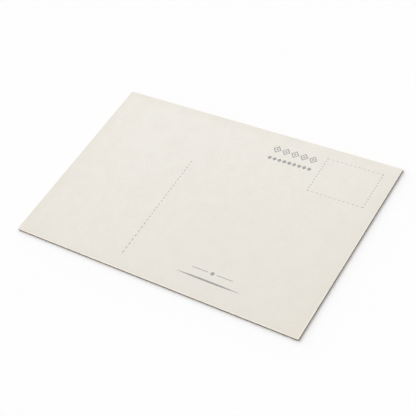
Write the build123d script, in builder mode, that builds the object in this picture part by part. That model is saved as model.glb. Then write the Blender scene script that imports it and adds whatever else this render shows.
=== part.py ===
from build123d import *
import os

# A picture postcard of pasted board, lying picture side down with its address side up.
# X runs along the long side, the way the address side is read. Y runs towards the edge with
# the stamp box and Z is up. The origin is the middle of the face that the card lies on.
# All sizes are in millimetres.

# Outline of the card
CARD_LENGTH = 140.0
CARD_HEIGHT = 90.0
CORNER_RADIUS = 0.5
EDGE_ROLL = 0.05  # rounding that handling leaves on the rim of the address side

# Layers of the board, from the face that the card lies on upwards
FILM_THICKNESS = 0.03
COATING_THICKNESS = 0.05
PICTURE_LINER_THICKNESS = 0.10
PASTE_THICKNESS = 0.02
CORE_THICKNESS = 0.36
ADDRESS_LINER_THICKNESS = 0.12
INK_DEPTH = 0.02  # how far the ink of either side soaks into the layer that carries it

# Divider of the address side, a dashed rule with longer dashes at its foot
DIVIDER_WIDTH = 0.3
DIVIDER_FROM_LEFT = 52.5
DIVIDER_FROM_TOP = 27.9
DIVIDER_FROM_BOTTOM = 7.6
DIVIDER_DASH = 0.85
DIVIDER_GAP = 1.0
DIVIDER_FOOT_DASH = 1.3
DIVIDER_FOOT_DASHES = 8

# Dashed box for the stamp, with thinner rules and longer dashes at its top and bottom
STAMP_BOX_WIDTH = 25.9
STAMP_BOX_HEIGHT = 19.0
STAMP_BOX_FROM_RIGHT = 6.1
STAMP_BOX_FROM_TOP = 5.5
STAMP_BOX_LEVEL_RULE = 0.18
STAMP_BOX_LEVEL_DASH = 1.05
STAMP_BOX_UPRIGHT_RULE = 0.28
STAMP_BOX_UPRIGHT_DASH = 0.65
STAMP_BOX_DASHES = 13  # along each side, the corners included

# Heading: a row of framed lozenges over a row of small ones
HEADING_WIDTH = 21.4
HEADING_FROM_STAMP_BOX = 3.5
HEADING_FROM_TOP = 8.5
HEADING_ROW_SPACING = 5.3
LOZENGE_COUNT = 5
LOZENGE_RADIUS = 1.95
LOZENGE_FRAME = 0.6
LOZENGE_CORE_RADIUS = 0.6
BEAD_COUNT = 9
BEAD_RADIUS = 1.05

# Imprint: a bead between two thin rules, over a swelled rule
IMPRINT_FROM_BOTTOM = 9.2
IMPRINT_ROW_SPACING = 4.0
THIN_RULE_LENGTH = 7.6
THIN_RULE_WIDTH = 0.3
THIN_RULE_GAP = 1.0
SWELLED_RULE_LENGTH = 30.8
SWELLED_RULE_WIDTH = 0.9

# Picture: a landscape inside a white border, with heights counted from the picture's foot.
# Each hill is a circle: its place from the picture's right end, the height of its summit and
# its radius.
PICTURE_BORDER = 6.0
SUN_RADIUS = 7.0
SUN_FROM_RIGHT = 45.0
SUN_HEIGHT = 48.0
FAR_GROUND_HEIGHT = 42.0
FAR_HILLS = [(78.0, 57.0, 48.0), (24.0, 51.0, 34.0)]
NEAR_GROUND_HEIGHT = 31.0
NEAR_HILLS = [(110.0, 39.0, 52.0), (14.0, 46.0, 40.0)]
LAKE_HEIGHT = 22.0

# Height of each face where two layers meet
film_top = FILM_THICKNESS
coating_top = film_top + COATING_THICKNESS
picture_liner_top = coating_top + PICTURE_LINER_THICKNESS
lower_paste_top = picture_liner_top + PASTE_THICKNESS
core_top = lower_paste_top + CORE_THICKNESS
upper_paste_top = core_top + PASTE_THICKNESS
address_top = upper_paste_top + ADDRESS_LINER_THICKNESS

# Places on the address side
right_edge = CARD_LENGTH / 2
top_edge = CARD_HEIGHT / 2
stamp_box_x = right_edge - STAMP_BOX_FROM_RIGHT - STAMP_BOX_WIDTH / 2
stamp_box_y = top_edge - STAMP_BOX_FROM_TOP - STAMP_BOX_HEIGHT / 2
heading_right = stamp_box_x - STAMP_BOX_WIDTH / 2 - HEADING_FROM_STAMP_BOX
heading_x = heading_right - HEADING_WIDTH / 2
heading_y = top_edge - HEADING_FROM_TOP
imprint_y = IMPRINT_FROM_BOTTOM - top_edge

# Frame of the picture
picture_length = CARD_LENGTH - 2 * PICTURE_BORDER
picture_height = CARD_HEIGHT - 2 * PICTURE_BORDER
picture_right = picture_length / 2
picture_foot = -picture_height / 2
picture_plane = Plane.XY.offset(film_top)


def plain_layer(bottom, thickness):
    """One layer of the board, cut to the outline of the card."""
    with BuildPart() as layer:
        with BuildSketch(Plane.XY.offset(bottom)):
            RectangleRounded(CARD_LENGTH, CARD_HEIGHT, CORNER_RADIUS)
        extrude(amount=thickness)
    return layer


def dash_pitch(length, dash, count):
    """Distance from one dash to the next where the dashes fill a rule from end to end."""
    return (length - dash) / (count - 1)


def land_region(ground_height, hills):
    """Level ground along the picture's foot with round hills on it, inside the picture's frame."""
    with BuildSketch(picture_plane) as land:
        with Locations((0, picture_foot)):
            Rectangle(picture_length, ground_height, align=(Align.CENTER, Align.MIN))
        for from_right, summit, radius in hills:
            with Locations((picture_right - from_right, picture_foot + summit - radius)):
                Circle(radius)
        Rectangle(picture_length, picture_height, mode=Mode.INTERSECT)
    return land.sketch


# Print of the address side, each design at the surface of the paper
divider_length = CARD_HEIGHT - DIVIDER_FROM_TOP - DIVIDER_FROM_BOTTOM
foot_pitch = DIVIDER_FOOT_DASH + DIVIDER_GAP
foot_length = DIVIDER_FOOT_DASHES * foot_pitch  # with the gap after its last dash
rest_length = divider_length - foot_length
rest_count = round((rest_length + DIVIDER_GAP) / (DIVIDER_DASH + DIVIDER_GAP))
rest_pitch = dash_pitch(rest_length, DIVIDER_DASH, rest_count)
divider_x = DIVIDER_FROM_LEFT - right_edge
divider_bottom = DIVIDER_FROM_BOTTOM - top_edge
with BuildSketch(Plane((divider_x, divider_bottom, address_top))) as divider_print:
    with Locations((0, (foot_length - DIVIDER_GAP) / 2)):
        with GridLocations(0, foot_pitch, 1, DIVIDER_FOOT_DASHES):
            Rectangle(DIVIDER_WIDTH, DIVIDER_FOOT_DASH)
    with Locations((0, foot_length + rest_length / 2)):
        with GridLocations(0, rest_pitch, 1, rest_count):
            Rectangle(DIVIDER_WIDTH, DIVIDER_DASH)

level_pitch = dash_pitch(STAMP_BOX_WIDTH, STAMP_BOX_LEVEL_DASH, STAMP_BOX_DASHES)
level_spacing = STAMP_BOX_HEIGHT - STAMP_BOX_LEVEL_RULE
upright_pitch = dash_pitch(STAMP_BOX_HEIGHT, STAMP_BOX_UPRIGHT_DASH, STAMP_BOX_DASHES)
upright_spacing = STAMP_BOX_WIDTH - STAMP_BOX_UPRIGHT_RULE
with BuildSketch(Plane((stamp_box_x, stamp_box_y, address_top))) as stamp_box_print:
    with GridLocations(level_pitch, level_spacing, STAMP_BOX_DASHES, 2):
        Rectangle(STAMP_BOX_LEVEL_DASH, STAMP_BOX_LEVEL_RULE)
    with GridLocations(upright_spacing, upright_pitch, 2, STAMP_BOX_DASHES):
        Rectangle(STAMP_BOX_UPRIGHT_RULE, STAMP_BOX_UPRIGHT_DASH)

lozenge_pitch = (HEADING_WIDTH - 2 * LOZENGE_RADIUS) / (LOZENGE_COUNT - 1)
bead_pitch = (HEADING_WIDTH - 2 * BEAD_RADIUS) / (BEAD_COUNT - 1)
with BuildSketch(Plane((heading_x, heading_y, address_top))) as heading_print:
    with GridLocations(lozenge_pitch, 0, LOZENGE_COUNT, 1):
        RegularPolygon(LOZENGE_RADIUS, 4)
        RegularPolygon(LOZENGE_RADIUS - LOZENGE_FRAME, 4, mode=Mode.SUBTRACT)
        RegularPolygon(LOZENGE_CORE_RADIUS, 4)
    with Locations((0, -HEADING_ROW_SPACING)):
        with GridLocations(bead_pitch, 0, BEAD_COUNT, 1):
            RegularPolygon(BEAD_RADIUS, 4)

thin_rule_spacing = 2 * (BEAD_RADIUS + THIN_RULE_GAP) + THIN_RULE_LENGTH
with BuildSketch(Plane((heading_x, imprint_y, address_top))) as imprint_print:
    with BuildLine():
        rule_start = (-SWELLED_RULE_LENGTH / 2, 0)
        rule_end = (SWELLED_RULE_LENGTH / 2, 0)
        ThreePointArc(rule_start, (0, SWELLED_RULE_WIDTH / 2), rule_end)
        ThreePointArc(rule_end, (0, -SWELLED_RULE_WIDTH / 2), rule_start)
    make_face()
    with Locations((0, IMPRINT_ROW_SPACING)):
        RegularPolygon(BEAD_RADIUS, 4)
        with GridLocations(thin_rule_spacing, 0, 2, 1):
            Rectangle(THIN_RULE_LENGTH, THIN_RULE_WIDTH)

# Regions of the picture, at the face where film and coating meet
with BuildSketch(picture_plane) as picture_frame:
    Rectangle(picture_length, picture_height)

with BuildSketch(picture_plane) as sun_disc:
    with Locations((picture_right - SUN_FROM_RIGHT, picture_foot + SUN_HEIGHT)):
        Circle(SUN_RADIUS)

# Plain layers of the board
pieces = {
    "gloss_film": plain_layer(0, FILM_THICKNESS),
    "picture_liner": plain_layer(coating_top, PICTURE_LINER_THICKNESS),
    "lower_paste": plain_layer(picture_liner_top, PASTE_THICKNESS),
    "core_ply": plain_layer(lower_paste_top, CORE_THICKNESS),
    "upper_paste": plain_layer(core_top, PASTE_THICKNESS),
}

# Coating, with the shallow bed that the picture's inks soak into
with BuildPart() as clay_coating:
    with BuildSketch(picture_plane):
        RectangleRounded(CARD_LENGTH, CARD_HEIGHT, CORNER_RADIUS)
    extrude(amount=COATING_THICKNESS)
    extrude(picture_frame.sketch, amount=INK_DEPTH, mode=Mode.SUBTRACT)
pieces["clay_coating"] = clay_coating

# Inks of the picture, nearest first: each region stops where a nearer one covers it
picture_regions = {
    "lake_ink": land_region(LAKE_HEIGHT, []),
    "near_hills_ink": land_region(NEAR_GROUND_HEIGHT, NEAR_HILLS),
    "far_hills_ink": land_region(FAR_GROUND_HEIGHT, FAR_HILLS),
    "sun_ink": sun_disc.sketch,
    "sky_ink": picture_frame.sketch,
}
nearer_regions = []
for label, region in picture_regions.items():
    with BuildPart() as picture_ink:
        extrude(region, amount=INK_DEPTH)
        for nearer in nearer_regions:
            extrude(nearer, amount=INK_DEPTH, mode=Mode.SUBTRACT)
    pieces[label] = picture_ink
    nearer_regions.append(region)

# Inks of the address side
address_prints = {
    "divider_ink": divider_print.sketch,
    "stamp_box_ink": stamp_box_print.sketch,
    "heading_ink": heading_print.sketch,
    "imprint_ink": imprint_print.sketch,
}
for label, design in address_prints.items():
    with BuildPart() as address_ink:
        extrude(design, amount=-INK_DEPTH)
    pieces[label] = address_ink

# Liner of the address side: its rim is rolled, and the inks lie flush in its surface
with BuildPart() as address_liner:
    with BuildSketch(Plane.XY.offset(upper_paste_top)):
        RectangleRounded(CARD_LENGTH, CARD_HEIGHT, CORNER_RADIUS)
    extrude(amount=ADDRESS_LINER_THICKNESS)
    fillet(address_liner.faces().sort_by(Axis.Z)[-1].edges(), radius=EDGE_ROLL)
    for design in address_prints.values():
        extrude(design, amount=-INK_DEPTH, mode=Mode.SUBTRACT)
pieces["address_liner"] = address_liner

os.makedirs("parts", exist_ok=True)
for label, piece in pieces.items():
    piece.part.label = label
    export_step(piece.part, f"parts/{label}.step")
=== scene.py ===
import math

import bmesh
import bpy
from bpy.props import FloatProperty, FloatVectorProperty, PointerProperty
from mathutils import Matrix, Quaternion, Vector


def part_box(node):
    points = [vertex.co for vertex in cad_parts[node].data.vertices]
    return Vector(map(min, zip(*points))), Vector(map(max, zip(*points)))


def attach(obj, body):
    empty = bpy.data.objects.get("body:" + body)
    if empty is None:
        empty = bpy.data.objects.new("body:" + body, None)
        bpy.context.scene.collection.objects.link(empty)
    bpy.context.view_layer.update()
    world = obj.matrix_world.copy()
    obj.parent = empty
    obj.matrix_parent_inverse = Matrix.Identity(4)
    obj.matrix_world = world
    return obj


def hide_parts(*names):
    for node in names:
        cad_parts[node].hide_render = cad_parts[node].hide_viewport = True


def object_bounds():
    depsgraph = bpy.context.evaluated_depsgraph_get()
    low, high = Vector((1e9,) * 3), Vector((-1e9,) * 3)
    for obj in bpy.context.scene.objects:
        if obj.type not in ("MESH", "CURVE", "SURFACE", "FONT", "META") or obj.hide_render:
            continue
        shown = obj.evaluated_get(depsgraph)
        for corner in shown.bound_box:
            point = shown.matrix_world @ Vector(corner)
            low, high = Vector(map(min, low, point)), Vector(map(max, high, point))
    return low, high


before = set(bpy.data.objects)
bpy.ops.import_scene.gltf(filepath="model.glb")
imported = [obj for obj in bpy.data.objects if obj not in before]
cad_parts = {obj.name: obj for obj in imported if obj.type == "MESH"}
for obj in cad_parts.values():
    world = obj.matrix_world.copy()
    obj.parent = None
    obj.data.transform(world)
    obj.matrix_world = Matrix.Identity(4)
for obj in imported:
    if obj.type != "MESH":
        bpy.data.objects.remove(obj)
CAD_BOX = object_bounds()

# A picture postcard of pasted board, lying picture side down on a white table.
# Objects are in metres. Inside the materials places and sizes are in millimetres.

bl_info = {
    "name": "Postcard",
    "version": (1, 0, 0),
    "blender": (4, 5, 0),
    "location": "View3D > Sidebar > Postcard",
    "description": "Finishes the layers and inks of a pasted-board postcard and sets its stage",
    "category": "Object",
}

MM = 0.001
ON_EDGE = 0.001 * MM  # a point nearer than this to an edge lies on it

# Heights of the face that the card lies on and of its address side
LYING_FACE = CAD_BOX[0][2]
ADDRESS_FACE = CAD_BOX[1][2]


def corner_rounding(sheet):
    """Radius of a sheet's corners: how far the straight part of its long edge stops short of its end."""
    points = [vertex.co for vertex in sheet.data.vertices]
    end = max(point.x for point in points)
    long_edge = max(point.y for point in points)
    straight_end = max(point.x for point in points if long_edge - point.y < ON_EDGE)
    return end - straight_end


# The card's outline and the frame of its picture, in millimetres about the card's middle
HALF_LENGTH = (CAD_BOX[1][0] - CAD_BOX[0][0]) / 2 / MM
HALF_HEIGHT = (CAD_BOX[1][1] - CAD_BOX[0][1]) / 2 / MM
CORNER_RADIUS = corner_rounding(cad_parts["gloss_film"]) / MM
SKY_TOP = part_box("sky_ink")[1][1] / MM
PICTURE_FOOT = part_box("lake_ink")[0][1] / MM
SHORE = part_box("lake_ink")[1][1] / MM
FAR_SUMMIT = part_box("far_hills_ink")[1][1] / MM
NEAR_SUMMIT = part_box("near_hills_ink")[1][1] / MM


def tint(code):
    """A display colour, written as six hex digits, as linear red, green, blue and alpha."""
    levels = [int(code[i:i + 2], 16) / 255 for i in (0, 2, 4)]
    return (*[v / 12.92 if v <= 0.04045 else ((v + 0.055) / 1.055) ** 2.4 for v in levels], 1.0)


def colour(name, description, code):
    """A colour that a user can change."""
    return FloatVectorProperty(
        name=name, description=description, default=tint(code), size=4, min=0, max=1, subtype="COLOR")


def length(name, description, millimetres):
    """A length that a user can change."""
    return FloatProperty(
        name=name, description=description, default=millimetres * MM, min=0, precision=5,
        unit="LENGTH", subtype="DISTANCE")


def angle(name, description, degrees):
    """An angle that a user can change."""
    return FloatProperty(
        name=name, description=description, default=math.radians(degrees),
        unit="ROTATION", subtype="ANGLE")


def share(name, description, default):
    """A share between none and all."""
    return FloatProperty(
        name=name, description=description, default=default, min=0, max=1, subtype="FACTOR")


class PaperSettings(bpy.types.PropertyGroup):
    """Papers and boards that the card is pasted from."""

    cream: colour("Cream", "Paper of the address side", "f1eee7")
    cloud: colour("Cloud", "Denser places in the address paper", "efebe4")
    # Darker paper, for the grain and for the painted shade towards the front right
    dull_and_shaded: colour("Aged", "Address paper where light and handling have dulled it", "ddd9cf")
    # Toned paper, for the age toning along the edges and for the painted shade at the ends and lower corners
    toned_and_shaded: colour("Toned edge", "Address paper where age has toned its edges", "e4decf")
    # Paler paper for the painted highlight along the front and right rims
    rim_highlight: colour("Highlit rim", "Address paper where handling has rubbed its rim", "f5f2ec")
    cut: colour("Cut edge", "Cut face of the papers, with the dust that it holds", "b69e81")
    # Painted shade in the hollows between the fibres of a cut face
    cut_hollow_shade: colour("Dark cut edge", "Hollows between the fibres of a cut face", "8a745c")
    fleck: colour("Fleck", "Specks of bark in the address paper", "a2907a")
    white: colour("White", "Paper of the picture side", "ebe9e3")
    clay: colour("Clay", "Coating under the picture", "f2f1ed")
    pulp: colour("Pulp", "Middle ply of the board", "957d66")
    dark_pulp: colour("Dark pulp", "Darker fibres of the middle ply", "6d5a48")
    paste: colour("Paste", "Dried paste between the plies", "ab9c80")
    dark_paste: colour("Dark paste", "Thicker places in the dried paste", "8c7c60")
    cloud_size: length("Cloud size", "Width of the clouds in the address paper", 7.0)
    blotch_size: length("Blotch size", "Width of the blotches in the paper's ageing and toning", 12.0)
    grain_size: length("Grain size", "Width of the paper's grain", 0.55)
    grain_share: share("Grain share", "How far the grain dulls the paper", 0.24)
    fibre_direction: angle("Fibre direction", "Direction that most fibres lie in, from +X", 83.0)
    fibre_crossing: angle("Fibre crossing", "Angle between most fibres and those that cross them", 74.5)
    fibre_length: length("Fibre length", "Length of the fibres in the papers' faces", 2.4)
    fibre_width: length("Fibre width", "Width of the fibres in the papers' faces", 0.14)
    fibre_share: share("Fibre share", "How far the fibres tone the address paper", 0.07)
    # The painted shade: the paper is darkened towards the front right, away from the lamp
    painted_shade_direction: angle("Shading direction", "Direction in which the paper grows duller, from +X", -64.36)
    painted_shade_reach: length("Shading reach", "How far from the middle the ageing is full", 99.2)
    painted_shade_drift: length("Shading drift", "How far the blotches move the ageing", 27.0)
    painted_shade_share: share("Shading share", "How dull the paper is where the ageing is full", 0.6)
    toning_depth: length("Toning depth", "How far the toning reaches in from the edges", 6.0)
    edge_share: share("Edge share", "How far the paper is toned along its edges", 0.33)
    # Toning at the ends and lower corners: age toning mixed with painted shade
    end_shade_reach: length("End reach", "How far a fainter toning reaches in from the short edges", 26.0)
    end_shade_share: share("End share", "How far the paper is toned at its short edges", 0.13)
    corner_shade_share: share("Corner share", "How much further the paper is toned at its lower corners", 0.12)
    # The painted highlight: a paler line just inside the front and right rims
    highlight_width: length("Rubbed width", "Width of the rim that handling has rubbed", 0.35)
    highlight_fade_width: length("Highlight width", "How far in from the rim the rubbing fades out", 0.8)
    highlight_share: share("Highlight share", "How far the rim is rubbed", 0.7)
    fleck_spacing: length("Fleck spacing", "Distance between specks of bark", 13.0)
    fleck_size: length("Fleck size", "Radius of the largest specks of bark", 0.3)
    fleck_share: share("Fleck share", "How far the specks show", 0.28)
    tooth_depth: length("Tooth depth", "Depth of the paper's tooth", 0.01)


class PrintSettings(bpy.types.PropertyGroup):
    """Inks of the address side and of the picture."""

    rule: colour("Rule", "Ink of the dashed rules", "8f8f8f")
    thin_rule: colour("Thin rule", "Ink of the dashed rules where it lies thin", "a6a5a2")
    ornament: colour("Ornament", "Ink of the ornaments", "9a9a9a")
    thin_ornament: colour("Thin ornament", "Ink of the ornaments where it lies thin", "afaeab")
    sky: colour("Sky", "Sky at the top of the picture", "5b97c4")
    low_sky: colour("Low sky", "Sky near the hills", "d6e4ea")
    sun: colour("Sun", "Middle of the sun", "f6d98a")
    sun_rim: colour("Sun rim", "Rim of the sun", "f0b45c")
    far_hills: colour("Far hills", "Far hills in their shade", "5f7f90")
    far_light: colour("Far light", "Far hills near their summits", "93acb4")
    near_hills: colour("Near hills", "Near hills in their shade", "3f6a45")
    near_light: colour("Near light", "Near hills near their summits", "7f9d5e")
    lake: colour("Lake", "Lake at the picture's foot", "2f6f92")
    lake_light: colour("Lake light", "Ripples that catch the sky", "8fbdd0")
    screen_pitch: length("Screen pitch", "Distance between the dots of the printing screen", 0.3)
    screen_angle: angle("Screen angle", "Turn of the printing screen from +X", 15.0)
    cloud_length: length("Cloud length", "Length of the clouds in the sky", 26.0)
    cloud_height: length("Cloud height", "Height of the clouds in the sky", 6.0)
    far_wood: length("Far wood", "Height of the woods on the far hills", 5.0)
    near_wood: length("Near wood", "Height of the woods on the near hills", 2.0)
    ripple_length: length("Ripple length", "Length of the ripples on the lake", 9.0)
    ripple_height: length("Ripple height", "Height of the ripples on the lake", 0.7)
    glint_width: length("Glint width", "Half the width of the sun's glint at the shore", 7.0)


class FilmSettings(bpy.types.PropertyGroup):
    """Clear film over the picture."""

    clear: colour("Clear", "Colour of the clear film", "e8eaea")
    veil: share("Veil", "How much the film hides of what lies under it", 0.03)
    seat_gap: length("Seat gap", "Air between the film and the inks", 0.002)
    scuff_direction: angle("Scuff direction", "Direction that the scuffs lie in, from +X", 34.4)
    scuff_length: length("Scuff length", "Length of the scuffs", 18.0)
    scuff_width: length("Scuff width", "Width of the scuffs", 0.25)


class StageSettings(bpy.types.PropertyGroup):
    """Table, light and camera."""

    table: colour("Table", "Colour of the table", "fdfdfd")
    table_size: FloatProperty(
        name="Table size", description="Side of the table", default=16.0, unit="LENGTH")
    table_gap: length("Table gap", "Air between the card and the table", 0.01)
    sky_light: FloatProperty(
        name="Sky light", description="Strength of the light from all round", default=0.672, min=0)
    sky_lean: share("Sky lean", "How much brighter the room is on its bright side", 0.84)
    sky_azimuth: angle("Sky azimuth", "Direction of the room's bright side, from +X", 135.0)
    lamp_strength: FloatProperty(
        name="Lamp strength", description="Strength of the soft lamp", default=2.8, min=0)
    lamp_spread: angle("Lamp spread", "Angle that the soft lamp fills, seen from the card", 64.0)
    lamp_azimuth: angle("Lamp azimuth", "Direction of the lamp about the card, from +X", 158.5)
    lamp_elevation: angle("Lamp elevation", "Height of the lamp above the table", 21.5)
    camera_azimuth: angle("Camera azimuth", "Direction of the camera about the card, from -Y", 45.995)
    camera_elevation: angle("Camera elevation", "Height of the camera above the table", 47.566)
    camera_roll: angle("Camera roll", "Turn of the camera about its own axis", -18.548)
    camera_distance: length("Camera distance", "Distance from the camera to its target", 428.8)
    camera_target: FloatVectorProperty(
        name="Camera target", description="Point of the address side that the camera looks at",
        default=(0.00375, -0.00328, ADDRESS_FACE), unit="LENGTH", subtype="TRANSLATION")
    camera_lens: FloatProperty(
        name="Camera lens", description="Focal length on a 36 mm sensor", default=88.75, min=1)


def arithmetic(operation):
    """A Math operation as a method, and the same with its operands the other way round."""
    def forward(first, second):
        return first.math(operation, first, second)

    def reflected(second, first):
        return second.math(operation, first, second)

    return forward, reflected


class Shade:
    """A node's output in an expression: arithmetic on it adds Math nodes to its tree."""

    def __init__(self, nodes, socket):
        self.nodes = nodes
        self.socket = socket

    def output(self, name):
        """Another output of the same node."""
        return Shade(self.nodes, self.socket.node.outputs[name])

    def math(self, operation, first, second=0.0):
        """One Math node in the tree."""
        return self.nodes.add("ShaderNodeMath", {"operation": operation}, {0: first, 1: second})

    __add__, __radd__ = arithmetic("ADD")
    __sub__, __rsub__ = arithmetic("SUBTRACT")
    __mul__, __rmul__ = arithmetic("MULTIPLY")
    __truediv__, __rtruediv__ = arithmetic("DIVIDE")
    __mod__, __rmod__ = arithmetic("FLOORED_MODULO")
    __pow__, __rpow__ = arithmetic("POWER")

    def __abs__(self):
        return self.math("ABSOLUTE", self)

    def least(self, other):
        """The smaller of two values."""
        return self.math("MINIMUM", self, other)

    def most(self, other):
        """The larger of two values."""
        return self.math("MAXIMUM", self, other)


class Nodes:
    """The node tree of a material or of the world, which starts empty."""

    def __init__(self, owner):
        owner.use_nodes = True
        self.tree = owner.node_tree
        self.tree.nodes.clear()

    def add(self, kind, settings=None, sockets=None, output=0):
        """Add a node: its settings first, then the values or links of its sockets."""
        node = self.tree.nodes.new(kind)
        for name, value in (settings or {}).items():
            setattr(node, name, value)
        for name, value in (sockets or {}).items():
            if isinstance(value, Shade):
                self.tree.links.new(value.socket, node.inputs[name])
            else:
                node.inputs[name].default_value = value
        return Shade(self, node.outputs[output]) if node.outputs else None

    def place(self):
        """Place on the card, in millimetres."""
        metres = self.add("ShaderNodeTexCoord", output="Object")
        return self.add("ShaderNodeVectorMath", {"operation": "SCALE"}, {0: metres, "Scale": 1 / MM})

    def split(self, vector):
        """The three parts of a vector."""
        parts = self.add("ShaderNodeSeparateXYZ", None, {0: vector})
        return parts, parts.output("Y"), parts.output("Z")

    def mix(self, factor, first, second):
        """The first colour where the factor is 0, the second where it is 1."""
        return self.add("ShaderNodeMix", {"data_type": "RGBA"}, {0: factor, 6: first, 7: second}, 2)

    def noise(self, place, size, detail=2.0, roughness=0.5, distortion=0.0):
        """Soft noise about a half, with features of a given size."""
        sockets = {
            "Vector": place,
            "Scale": 1 / size,
            "Detail": detail,
            "Roughness": roughness,
            "Distortion": distortion,
        }
        return self.add("ShaderNodeTexNoise", None, sockets)

    def turned(self, place, direction, sizes):
        """A place along axes turned in the card's plane, counted in a given size along each."""
        sockets = {"Vector": place, "Rotation": (0, 0, direction), "Scale": sizes}
        return self.add("ShaderNodeMapping", {"vector_type": "TEXTURE"}, sockets)

    def long_noise(self, place, sizes, direction=0.0, detail=2.0, roughness=0.5):
        """Soft noise whose features have a given length, width and thickness and lie one way."""
        return self.noise(self.turned(place, direction, sizes), 1.0, detail, roughness)

    def rise(self, value, low, high):
        """A smooth step from 0 at one value to 1 at another."""
        sockets = {"Value": value, "From Min": low, "From Max": high}
        return self.add("ShaderNodeMapRange", {"interpolation_type": "SMOOTHSTEP"}, sockets)

    def cut_face(self):
        """1 on the faces where the sheet was cut, 0 on its two broad faces."""
        _, _, upright = self.split(self.add("ShaderNodeTexCoord", output="Normal"))
        return 1 - self.rise(abs(upright), 0.3, 0.8)

    def from_rim(self, x, y):
        """Distance in from the card's rim, whose corners are round."""
        past_x = abs(x) - (HALF_LENGTH - CORNER_RADIUS)
        past_y = abs(y) - (HALF_HEIGHT - CORNER_RADIUS)
        corner_x = past_x.most(0.0)
        corner_y = past_y.most(0.0)
        round_corner = (corner_x * corner_x + corner_y * corner_y) ** 0.5
        return CORNER_RADIUS - round_corner - past_x.most(past_y).least(0.0)

    def relief(self, height):
        """A normal that follows a height in millimetres."""
        return self.add("ShaderNodeBump", None, {"Distance": MM, "Height": height})

    def surface(self, sockets):
        """One Principled surface and the material's output."""
        shader = self.add("ShaderNodeBsdfPrincipled", None, sockets)
        self.add("ShaderNodeOutputMaterial", None, {"Surface": shader})


def material(name):
    """A new material and its nodes."""
    made = bpy.data.materials.new(name)
    return made, Nodes(made)


def dress(node_name, finish):
    """Give a CAD node its finish."""
    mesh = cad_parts[node_name].data
    mesh.materials.clear()
    mesh.materials.append(finish)


def mesh_object(scene, name, shape):
    """A new object in the scene from a finished shape."""
    mesh = bpy.data.meshes.new(name)
    shape.to_mesh(mesh)
    shape.free()
    made = bpy.data.objects.new(name, mesh)
    scene.collection.objects.link(made)
    return made


def pointing(azimuth, elevation=0.0):
    """A direction, from its azimuth from +X and its height above the table."""
    flat = math.cos(elevation)
    return Vector((flat * math.cos(azimuth), flat * math.sin(azimuth), math.sin(elevation)))


def fibre_streaks(nodes, place, settings, direction, seed_shift):
    """Thin fibres that lie about one direction."""
    fibre = (settings.fibre_length / MM, settings.fibre_width / MM, 1.0)
    laid = nodes.turned(place, direction, fibre)
    moved = nodes.add("ShaderNodeVectorMath", {"operation": "ADD"}, {0: laid, 1: seed_shift})
    return nodes.rise(nodes.noise(moved, 1.0, distortion=0.7), 0.60, 0.74)


def flat_fibres(nodes, place, width, thickness):
    """Fibres that lie flat in a sheet and show as thin layers where it is cut."""
    return nodes.long_noise(place, (width, width, thickness), detail=3.0, roughness=0.6)


def bark_flecks(nodes, place, spacing, largest):
    """Scattered specks: most are too small to see and a few are as large as the largest."""
    cell = nodes.add(
        "ShaderNodeTexVoronoi", {"voronoi_dimensions": "2D"},
        {"Vector": place, "Scale": 1 / spacing, "Randomness": 1.0})
    lot, _, _ = nodes.split(cell.output("Color"))
    radius = largest * lot ** 2
    ragged = 0.2 * (nodes.noise(place, 0.25) - 0.5)
    distance = cell * spacing + ragged
    return nodes.rise(radius - distance, 0.0, 0.12)


def cut_paper(nodes, place, settings):
    """Colour of a cut face: flat fibres, with painted shade in the hollows between them."""
    shaded_hollows = nodes.rise(flat_fibres(nodes, place, 0.6, 0.03), 0.35, 0.7)
    return nodes.mix(shaded_hollows, settings.cut, settings.cut_hollow_shade)


def painted_shade(nodes, x, y, blotches, settings):
    """Painted shade: how far the paper is darkened from one corner to the other, darkest towards the front
    right.
    """
    across, up, _ = pointing(settings.painted_shade_direction)
    drift = settings.painted_shade_drift / MM * (blotches - 0.5)
    reach = settings.painted_shade_reach / MM
    return settings.painted_shade_share * nodes.rise(across * x + up * y + drift, -reach, reach)


def toning_and_shade(nodes, x, y, blotches, settings):
    """How far the paper is toned: by age in blotches along the edges, and evenly at both ends and further at
    the lower corners, where age toning and painted shade are mixed.
    """
    from_end = HALF_LENGTH - abs(x)
    from_edge = from_end.least(HALF_HEIGHT - abs(y))
    end_shade_reach = settings.end_shade_reach / MM
    edges = 1 - nodes.rise(from_edge, 0.0, settings.toning_depth / MM)
    # darker at both ends and at the lower corners: age toning mixed with painted shade
    ends = 1 - nodes.rise(from_end, 0.0, end_shade_reach)
    foot = 1 - nodes.rise(y + HALF_HEIGHT, 0.0, end_shade_reach)
    along_edges = settings.edge_share * edges * nodes.rise(blotches, 0.1, 0.7)
    return along_edges + (settings.end_shade_share + settings.corner_shade_share * foot) * ends


def painted_rim_highlight(nodes, place, x, y, settings):
    """Painted highlight: how far the rim is paler, in patches, along the foot and the right end."""
    rim = 1 - nodes.rise(nodes.from_rim(x, y), settings.highlight_width / MM, settings.highlight_fade_width / MM)
    patches = nodes.rise(nodes.noise(place, 2.5, detail=3.0), 0.25, 0.6)
    front_and_right = nodes.rise(x / HALF_LENGTH - y / HALF_HEIGHT, -0.3, 0.3)
    return settings.highlight_share * rim * patches * front_and_right


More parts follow.
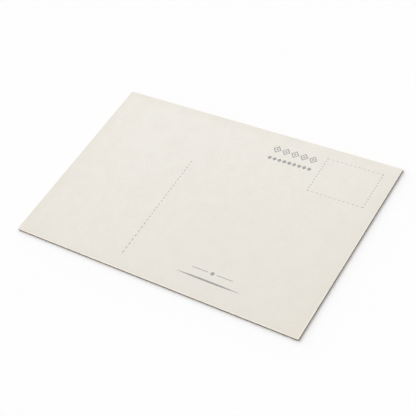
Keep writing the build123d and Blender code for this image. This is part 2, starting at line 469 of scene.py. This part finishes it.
def cream_paper(settings):
    """Uncoated cream paper with painted shade towards the front right, toned along its edges, darker at its
    ends and lower corners, and with a painted highlight along its front and right rims.
    """
    made, nodes = material("cream_paper")
    place = nodes.place()
    x, y, _ = nodes.split(place)

    clouds = nodes.rise(nodes.noise(place, settings.cloud_size / MM, detail=4.0), 0.35, 0.68)
    blotches = nodes.noise(place, settings.blotch_size / MM, detail=3.0)
    width = settings.grain_size / MM
    grain = nodes.long_noise(
        place, (2 * width, width, width), settings.fibre_direction, detail=3.0, roughness=0.6)
    crossing = settings.fibre_direction - settings.fibre_crossing
    along = fibre_streaks(nodes, place, settings, settings.fibre_direction, (0, 0, 0))
    across = fibre_streaks(nodes, place, settings, crossing, (31, 17, 0))
    fibres = along.most(across)
    flecks = bark_flecks(nodes, place, settings.fleck_spacing / MM, settings.fleck_size / MM)

    coats = (
        (clouds, settings.cloud),
        # painted shade, darker towards the front right
        (painted_shade(nodes, x, y, blotches, settings), settings.dull_and_shaded),
        # age toning along the edges, with painted shade at the ends and lower corners
        (toning_and_shade(nodes, x, y, blotches, settings), settings.toned_and_shaded),
        (settings.grain_share * nodes.rise(grain, 0.35, 0.65), settings.dull_and_shaded),
        (settings.fibre_share * fibres, settings.toned_and_shaded),
        # painted highlight along the front and right rims
        (painted_rim_highlight(nodes, place, x, y, settings), settings.rim_highlight),
        (settings.fleck_share * flecks, settings.fleck),
        (nodes.cut_face(), cut_paper(nodes, place, settings)),
    )
    body = settings.cream
    for cover, coat in coats:
        body = nodes.mix(cover, body, coat)

    tooth = settings.tooth_depth / MM
    fine_tooth = nodes.noise(place, 0.12)
    nodes.surface({
        "Base Color": body,
        "Roughness": 0.84 + 0.1 * grain,
        "Specular IOR Level": 0.25,
        "Normal": nodes.relief(tooth * (grain + 0.5 * fibres + fine_tooth)),
    })
    return made


def grey_print(name, ink, thin_ink):
    """Flat grey ink that lies a little uneven on the paper's tooth."""
    made, nodes = material(name)
    place = nodes.place()
    cover = nodes.noise(place, 0.22, detail=3.0, roughness=0.6)
    drift = nodes.noise(place, 4.0)
    thin = nodes.rise(cover * 0.7 + drift * 0.3, 0.42, 0.66)
    nodes.surface({
        "Base Color": nodes.mix(thin, ink, thin_ink),
        "Roughness": 0.62 + 0.2 * cover,
        "Specular IOR Level": 0.25,
        "Normal": nodes.relief(0.004 * cover),
    })
    return made


def pulp_board(settings):
    """Grey-brown board of recycled pulp, whose fibres lie flat."""
    made, nodes = material("pulp_board")
    place = nodes.place()
    fibres = flat_fibres(nodes, place, 0.9, 0.05)
    specks = nodes.noise(place, 0.08)
    dark = nodes.rise(fibres, 0.35, 0.68)
    pale = nodes.rise(specks, 0.64, 0.76)
    body = nodes.mix(dark, settings.pulp, settings.dark_pulp)
    nodes.surface({
        "Base Color": nodes.mix(pale * 0.5, body, settings.white),
        "Roughness": 0.88 + 0.1 * specks,
        "Specular IOR Level": 0.2,
        "Normal": nodes.relief(0.02 * fibres + 0.01 * specks),
    })
    return made


def dried_paste(settings):
    """Thin film of dried paste, thicker in places."""
    made, nodes = material("dried_paste")
    place = nodes.place()
    lumps = nodes.noise(place, 0.6, detail=3.0)
    thick = nodes.rise(lumps, 0.38, 0.66)
    nodes.surface({
        "Base Color": nodes.mix(thick, settings.paste, settings.dark_paste),
        "Roughness": 0.5 + 0.25 * lumps,
        "Specular IOR Level": 0.35,
        "Normal": nodes.relief(0.006 * lumps),
    })
    return made


def white_paper(settings):
    """Smooth white paper under the coating."""
    made, nodes = material("white_paper")
    place = nodes.place()
    grain = flat_fibres(nodes, place, 0.5, 0.05)
    fibres = fibre_streaks(nodes, place, settings, math.radians(28.65), (7, 41, 0))
    body = nodes.mix(nodes.rise(grain, 0.3, 0.75) * 0.6, settings.white, settings.cloud)
    body = nodes.mix(fibres * 0.15, body, settings.toned_and_shaded)
    nodes.surface({
        "Base Color": nodes.mix(nodes.cut_face(), body, cut_paper(nodes, place, settings)),
        "Roughness": 0.76 + 0.12 * grain,
        "Specular IOR Level": 0.3,
        "Normal": nodes.relief(0.006 * grain),
    })
    return made


def clay_coat(settings):
    """Satin coating with the faint mottle of a brushed-on layer."""
    made, nodes = material("clay_coat")
    place = nodes.place()
    mottle = nodes.noise(place, 1.4, detail=3.0)
    streaks = nodes.long_noise(place, (14.0, 0.5, 1.0))
    uneven = nodes.rise(mottle * 0.6 + streaks * 0.4, 0.35, 0.7)
    body = nodes.mix(uneven * 0.5, settings.clay, settings.white)
    nodes.surface({
        "Base Color": nodes.mix(nodes.cut_face(), body, cut_paper(nodes, place, settings)),
        "Roughness": 0.38 + 0.14 * mottle,
        "Specular IOR Level": 0.45,
        "Normal": nodes.relief(0.002 * mottle),
    })
    return made


def screened_print(name, settings, dark, light, tone):
    """Process ink laid down as a screen of dots, larger where the tone is deeper."""
    made, nodes = material(name)
    place = nodes.place()
    pitch = settings.screen_pitch / MM
    screen = nodes.turned(place, settings.screen_angle, (pitch, pitch, 1.0))
    across, along, _ = nodes.split(screen)
    across = across % 1.0 - 0.5
    along = along % 1.0 - 0.5
    from_dot = (across * across + along * along) ** 0.5
    depth = tone(nodes, place)
    radius = 0.2 + 0.55 * depth
    dots = nodes.rise(radius - from_dot, -0.1, 0.1)
    cover = nodes.noise(place, 0.5)
    even = nodes.mix(depth, light, dark)
    screened = nodes.mix(dots, light, dark)
    nodes.surface({
        "Base Color": nodes.mix(0.45, even, screened),
        "Roughness": 0.4 + 0.15 * cover,
        "Specular IOR Level": 0.4,
        "Coat Weight": 0.7,
        "Coat Roughness": 0.08,
        "Normal": nodes.relief(0.001 * dots),
    })
    return made


def sky_tone(settings):
    """Tone that deepens from the hills upwards, broken by long pale clouds."""
    cloud = (settings.cloud_length / MM, settings.cloud_height / MM, 1.0)

    def tone(nodes, place):
        _, y, _ = nodes.split(place)
        clouds = nodes.rise(nodes.long_noise(place, cloud, detail=4.0, roughness=0.55), 0.48, 0.66)
        return nodes.rise(y, SHORE, SKY_TOP) * (1 - 0.7 * clouds)
    return tone


def hill_tone(summit, wood):
    """Tone that deepens from a summit down to the shore, mottled by woods of a given height."""
    clump = (1.8 * wood / MM, wood / MM, wood / MM)

    def tone(nodes, place):
        _, y, _ = nodes.split(place)
        clumps = nodes.rise(nodes.long_noise(place, clump, detail=4.0, roughness=0.6), 0.4, 0.62)
        return 0.6 * nodes.rise(y, summit, SHORE) + 0.4 * clumps
    return tone


def rounded_tone(centre_x, centre_y, radius):
    """Tone that deepens from a disc's middle to its rim."""
    def tone(nodes, place):
        x, y, _ = nodes.split(place)
        across = x - centre_x
        up = y - centre_y
        return nodes.rise((across * across + up * up) ** 0.5, radius * 0.3, radius)
    return tone


def rippled_tone(settings, glint_x):
    """Tone of still water: level ripples that catch the sun along one line and darken nearer by."""
    ripple = (settings.ripple_length / MM, settings.ripple_height / MM, 1.0)

    def tone(nodes, place):
        x, y, _ = nodes.split(place)
        near = (SHORE - y) / (SHORE - PICTURE_FOOT)
        ripples = nodes.long_noise(place, ripple, detail=3.0, roughness=0.6)
        glint = 1 - nodes.rise(abs(x - glint_x) / (1 + near), 0.0, settings.glint_width / MM)
        return nodes.rise(ripples + 0.25 * near - 0.2 * glint, 0.42, 0.7)
    return tone


def clear_film(settings):
    """Clear gloss film with the faint orange peel of a laminate."""
    made, nodes = material("clear_film")
    place = nodes.place()
    scuff = (settings.scuff_length / MM, settings.scuff_width / MM, 1.0)
    peel = nodes.noise(place, 0.9)
    scuffs = nodes.rise(
        nodes.long_noise(place, scuff, settings.scuff_direction, detail=3.0), 0.62, 0.8)
    nodes.surface({
        "Base Color": settings.clear,
        "Roughness": 0.06 + 0.05 * peel + 0.2 * scuffs,
        "Alpha": (settings.veil + 0.1 * scuffs).most(0.8 * nodes.cut_face()),
        "Normal": nodes.relief(0.0015 * peel),
    })
    return made


def rounded_outline(half_length, half_height, radius, steps=8):
    """Points around a rectangle with rounded corners, counter-clockwise."""
    points = []
    for quarter, (side, end) in enumerate(((1, 1), (-1, 1), (-1, -1), (1, -1))):
        centre = Vector((side * (half_length - radius), end * (half_height - radius)))
        for step in range(steps + 1):
            turn = (quarter + step / steps) * math.pi / 2
            points.append(centre + radius * Vector((math.cos(turn), math.sin(turn))))
    return points


def film_sheet(scene, settings):
    """Closed sheet of film, whose upper face stays just clear of the inks."""
    low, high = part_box("gloss_film")
    outline = rounded_outline(high[0], high[1], CORNER_RADIUS * MM)
    shape = bmesh.new()
    lower = [shape.verts.new((point.x, point.y, low[2])) for point in outline]
    upper = [shape.verts.new((point.x, point.y, high[2] - settings.seat_gap)) for point in outline]
    shape.faces.new(list(reversed(lower)))
    shape.faces.new(upper)
    for i in range(len(outline)):
        j = (i + 1) % len(outline)
        shape.faces.new((lower[i], lower[j], upper[j], upper[i]))
    return mesh_object(scene, "film_sheet", shape)


class POSTCARD_OT_address_liner(bpy.types.Operator):
    """Finish the cream paper of the address side"""

    bl_idname = "postcard.address_liner"
    bl_label = "Address liner"

    def execute(self, context):
        dress("address_liner", cream_paper(context.scene.postcard_paper))
        return {"FINISHED"}


class POSTCARD_OT_address_print(bpy.types.Operator):
    """Finish the grey print of the address side"""

    bl_idname = "postcard.address_print"
    bl_label = "Address print"

    def execute(self, context):
        inks = context.scene.postcard_print
        rules = grey_print("rule_print", inks.rule, inks.thin_rule)
        dress("divider_ink", rules)
        dress("stamp_box_ink", rules)
        ornaments = grey_print("ornament_print", inks.ornament, inks.thin_ornament)
        dress("heading_ink", ornaments)
        dress("imprint_ink", ornaments)
        return {"FINISHED"}


class POSTCARD_OT_board(bpy.types.Operator):
    """Finish the plies and the paste inside the board"""

    bl_idname = "postcard.board"
    bl_label = "Board"

    def execute(self, context):
        settings = context.scene.postcard_paper
        paste = dried_paste(settings)
        dress("upper_paste", paste)
        dress("lower_paste", paste)
        dress("core_ply", pulp_board(settings))
        dress("picture_liner", white_paper(settings))
        dress("clay_coating", clay_coat(settings))
        return {"FINISHED"}


class POSTCARD_OT_picture(bpy.types.Operator):
    """Finish the inks of the picture"""

    bl_idname = "postcard.picture"
    bl_label = "Picture"

    def execute(self, context):
        inks = context.scene.postcard_print
        sun_low, sun_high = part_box("sun_ink")
        sun_radius = (sun_high[0] - sun_low[0]) / 2 / MM
        sun_x = (sun_high[0] + sun_low[0]) / 2 / MM
        sun_y = sun_high[1] / MM - sun_radius
        disc = rounded_tone(sun_x, sun_y, sun_radius)
        far_slope = hill_tone(FAR_SUMMIT, inks.far_wood)
        near_slope = hill_tone(NEAR_SUMMIT, inks.near_wood)
        water = rippled_tone(inks, sun_x)
        finishes = {
            "sky_ink": ("sky_print", inks.sky, inks.low_sky, sky_tone(inks)),
            "sun_ink": ("sun_print", inks.sun_rim, inks.sun, disc),
            "far_hills_ink": ("far_hills_print", inks.far_hills, inks.far_light, far_slope),
            "near_hills_ink": ("near_hills_print", inks.near_hills, inks.near_light, near_slope),
            "lake_ink": ("lake_print", inks.lake, inks.lake_light, water),
        }
        for node_name, (name, dark, light, tone) in finishes.items():
            dress(node_name, screened_print(name, inks, dark, light, tone))
        return {"FINISHED"}


class POSTCARD_OT_gloss_film(bpy.types.Operator):
    """Lay the clear film over the picture"""

    bl_idname = "postcard.gloss_film"
    bl_label = "Gloss film"

    def execute(self, context):
        settings = context.scene.postcard_film
        sheet = film_sheet(context.scene, settings)
        sheet.data.materials.append(clear_film(settings))
        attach(sheet, "root")
        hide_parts("gloss_film")
        return {"FINISHED"}


class POSTCARD_OT_stage(bpy.types.Operator):
    """Set the table, the light and the camera"""

    bl_idname = "postcard.stage"
    bl_label = "Stage"

    def execute(self, context):
        settings = context.scene.postcard_stage
        self.lay_table(context.scene, settings)
        self.light_sky(context.scene, settings)
        self.hang_lamp(context.scene, settings)
        self.set_camera(context.scene, settings)
        context.scene.view_settings.view_transform = "Standard"
        return {"FINISHED"}

    def lay_table(self, scene, settings):
        """A wide, matt white table just under the card."""
        shape = bmesh.new()
        bmesh.ops.create_grid(shape, x_segments=1, y_segments=1, size=settings.table_size / 2)
        table = mesh_object(scene, "table", shape)
        table.location.z = LYING_FACE - settings.table_gap
        made, nodes = material("table_white")
        matt = nodes.add("ShaderNodeBsdfDiffuse", None, {"Color": settings.table})
        nodes.add("ShaderNodeOutputMaterial", None, {"Surface": matt})
        table.data.materials.append(made)

    def light_sky(self, scene, settings):
        """A white room that is brighter on one side, and plain white where it is looked at."""
        world = bpy.data.worlds.new("studio")
        nodes = Nodes(world)
        direction = nodes.add("ShaderNodeTexCoord", output="Generated")
        bright_side = pointing(settings.sky_azimuth)
        lean = nodes.add(
            "ShaderNodeVectorMath", {"operation": "DOT_PRODUCT"}, {0: direction, 1: bright_side}, "Value")
        light = settings.sky_light * (1 + settings.sky_lean * lean)
        path = nodes.add("ShaderNodeLightPath", output="Is Camera Ray")
        seen = path.most(path.output("Is Glossy Ray")).most(path.output("Is Transmission Ray"))
        sky = nodes.add(
            "ShaderNodeBackground", None,
            {"Color": (1, 1, 1, 1), "Strength": light + (1 - light) * seen})
        nodes.add("ShaderNodeOutputWorld", None, {"Surface": sky})
        scene.world = world

    def hang_lamp(self, scene, settings):
        """One wide, soft lamp."""
        light = bpy.data.lights.new("soft_lamp", "SUN")
        light.energy = settings.lamp_strength
        light.angle = settings.lamp_spread
        lamp = bpy.data.objects.new("soft_lamp", light)
        towards = pointing(settings.lamp_azimuth, settings.lamp_elevation)
        lamp.location = towards
        lamp.rotation_euler = (-towards).to_track_quat("-Z", "Y").to_euler()
        scene.collection.objects.link(lamp)

    def set_camera(self, scene, settings):
        """A camera that looks down on the address side."""
        view = bpy.data.cameras.new("camera")
        view.lens = settings.camera_lens
        view.clip_start = 10 * MM
        camera = bpy.data.objects.new("camera", view)
        back = pointing(settings.camera_azimuth - math.pi / 2, settings.camera_elevation)
        level = (-back).to_track_quat("-Z", "Y")
        roll = Quaternion((0, 0, 1), settings.camera_roll)
        camera.location = Vector(settings.camera_target) + back * settings.camera_distance
        camera.rotation_euler = (level @ roll).to_euler()
        scene.collection.objects.link(camera)
        scene.camera = camera


class VIEW3D_PT_postcard(bpy.types.Panel):
    """Settings and steps of the postcard"""

    bl_label = "Postcard"
    bl_space_type = "VIEW_3D"
    bl_region_type = "UI"
    bl_category = "Postcard"

    def draw(self, context):
        for title, (settings_name, operators) in PANEL_ROWS.items():
            box = self.layout.box()
            box.label(text=title)
            settings = getattr(context.scene, settings_name)
            for prop in settings.__annotations__:
                box.prop(settings, prop)
            for operator in operators:
                box.operator(operator.bl_idname)


SETTINGS = {
    "postcard_paper": PaperSettings,
    "postcard_print": PrintSettings,
    "postcard_film": FilmSettings,
    "postcard_stage": StageSettings,
}
OPERATORS = (
    POSTCARD_OT_address_liner,
    POSTCARD_OT_address_print,
    POSTCARD_OT_board,
    POSTCARD_OT_picture,
    POSTCARD_OT_gloss_film,
    POSTCARD_OT_stage,
)
PANEL_ROWS = {
    "Paper": ("postcard_paper", (POSTCARD_OT_address_liner, POSTCARD_OT_board)),
    "Print": ("postcard_print", (POSTCARD_OT_address_print, POSTCARD_OT_picture)),
    "Film": ("postcard_film", (POSTCARD_OT_gloss_film,)),
    "Stage": ("postcard_stage", (POSTCARD_OT_stage,)),
}


def register():
    """Register the settings, the steps and the panel."""
    for cls in (*SETTINGS.values(), *OPERATORS, VIEW3D_PT_postcard):
        bpy.utils.register_class(cls)
    for name, group in SETTINGS.items():
        setattr(bpy.types.Scene, name, PointerProperty(type=group))


def unregister():
    """Undo what register does."""
    for name in SETTINGS:
        delattr(bpy.types.Scene, name)
    for cls in (VIEW3D_PT_postcard, *reversed(OPERATORS), *reversed(SETTINGS.values())):
        bpy.utils.unregister_class(cls)


def main():
    """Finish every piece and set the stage."""
    register()
    bpy.ops.postcard.address_liner()
    bpy.ops.postcard.address_print()
    bpy.ops.postcard.board()
    bpy.ops.postcard.picture()
    bpy.ops.postcard.gloss_film()
    bpy.ops.postcard.stage()


if __name__ == "__main__":
    main()
